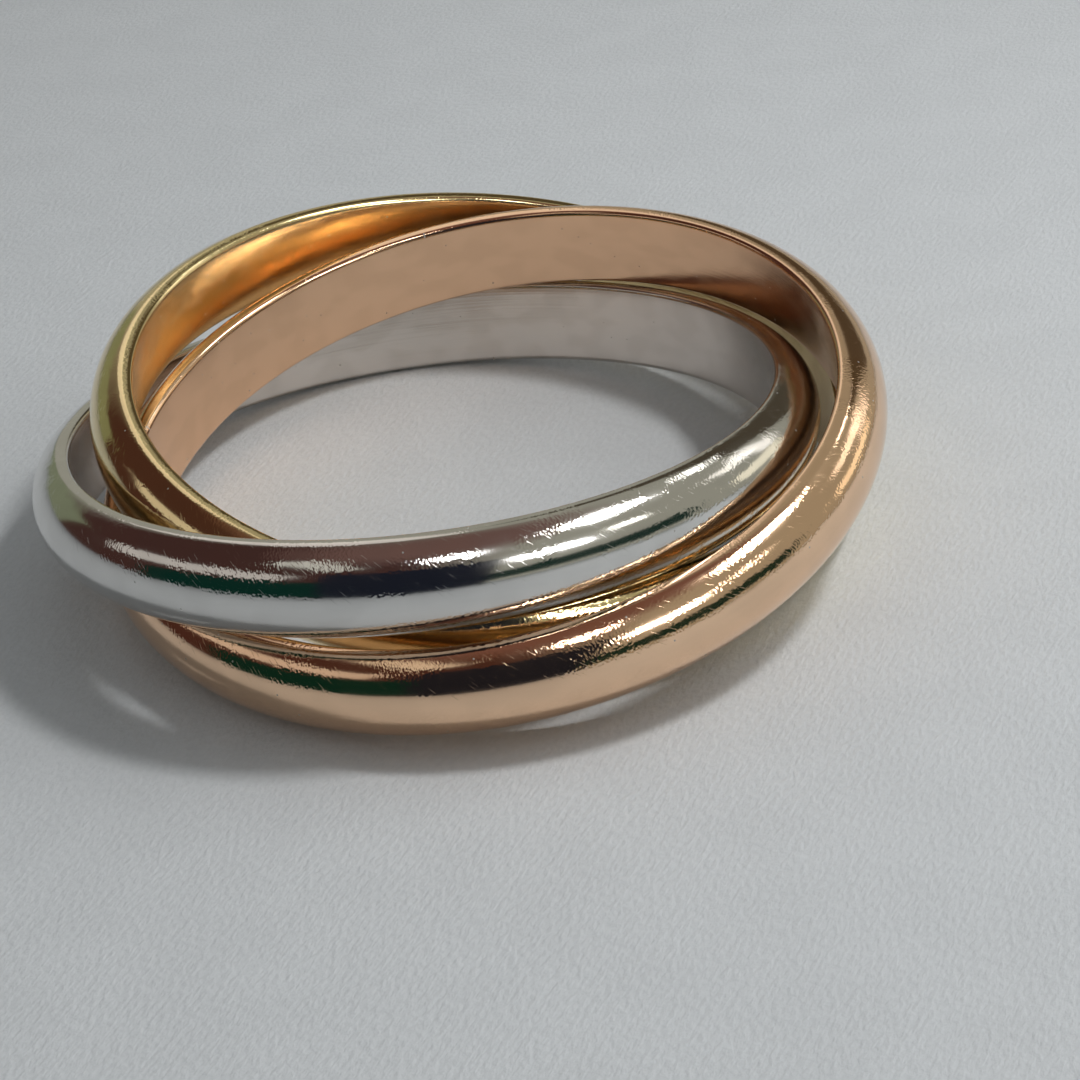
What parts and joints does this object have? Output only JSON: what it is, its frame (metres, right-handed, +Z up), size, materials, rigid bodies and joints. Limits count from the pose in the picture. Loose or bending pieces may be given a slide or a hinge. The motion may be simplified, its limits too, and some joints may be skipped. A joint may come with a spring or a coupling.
{
  "type": "three-band rolling ring",
  "caption": "Finger ring of interlinked domed gold bands in yellow, white and rose, lying flat on a table.",
  "frame": {"origin": "on the table, under the middle of the ring's box", "axes": "+Z up from the table, +Y away from the picture's camera, +X to the picture's right"},
  "size_m": [0.0218, 0.0218, 0.0055],
  "materials": {
    "yellow_gold": "polished 18 carat yellow gold",
    "white_gold": "polished 18 carat white gold",
    "rose_gold": "polished 18 carat rose gold"
  },
  "bodies": {
    "rose": {"rose_band": "rose_gold"},
    "yellow": {"yellow_band": "yellow_gold"},
    "white": {"white_band": "white_gold"}
  },
  "joints": [
    {"name": "yellow_spin", "type": "hinge", "parent": "rose", "child": "yellow", "pos_m": [0.00077, 0.00081, 0.00276], "axis": [0.1491, -0.0903, 0.9847], "continuous": true},
    {"name": "white_spin", "type": "hinge", "parent": "rose", "child": "white", "pos_m": [-0.00077, -0.00015, 0.00258], "axis": [-0.0182, 0.1529, 0.9881], "continuous": true}
  ]
}
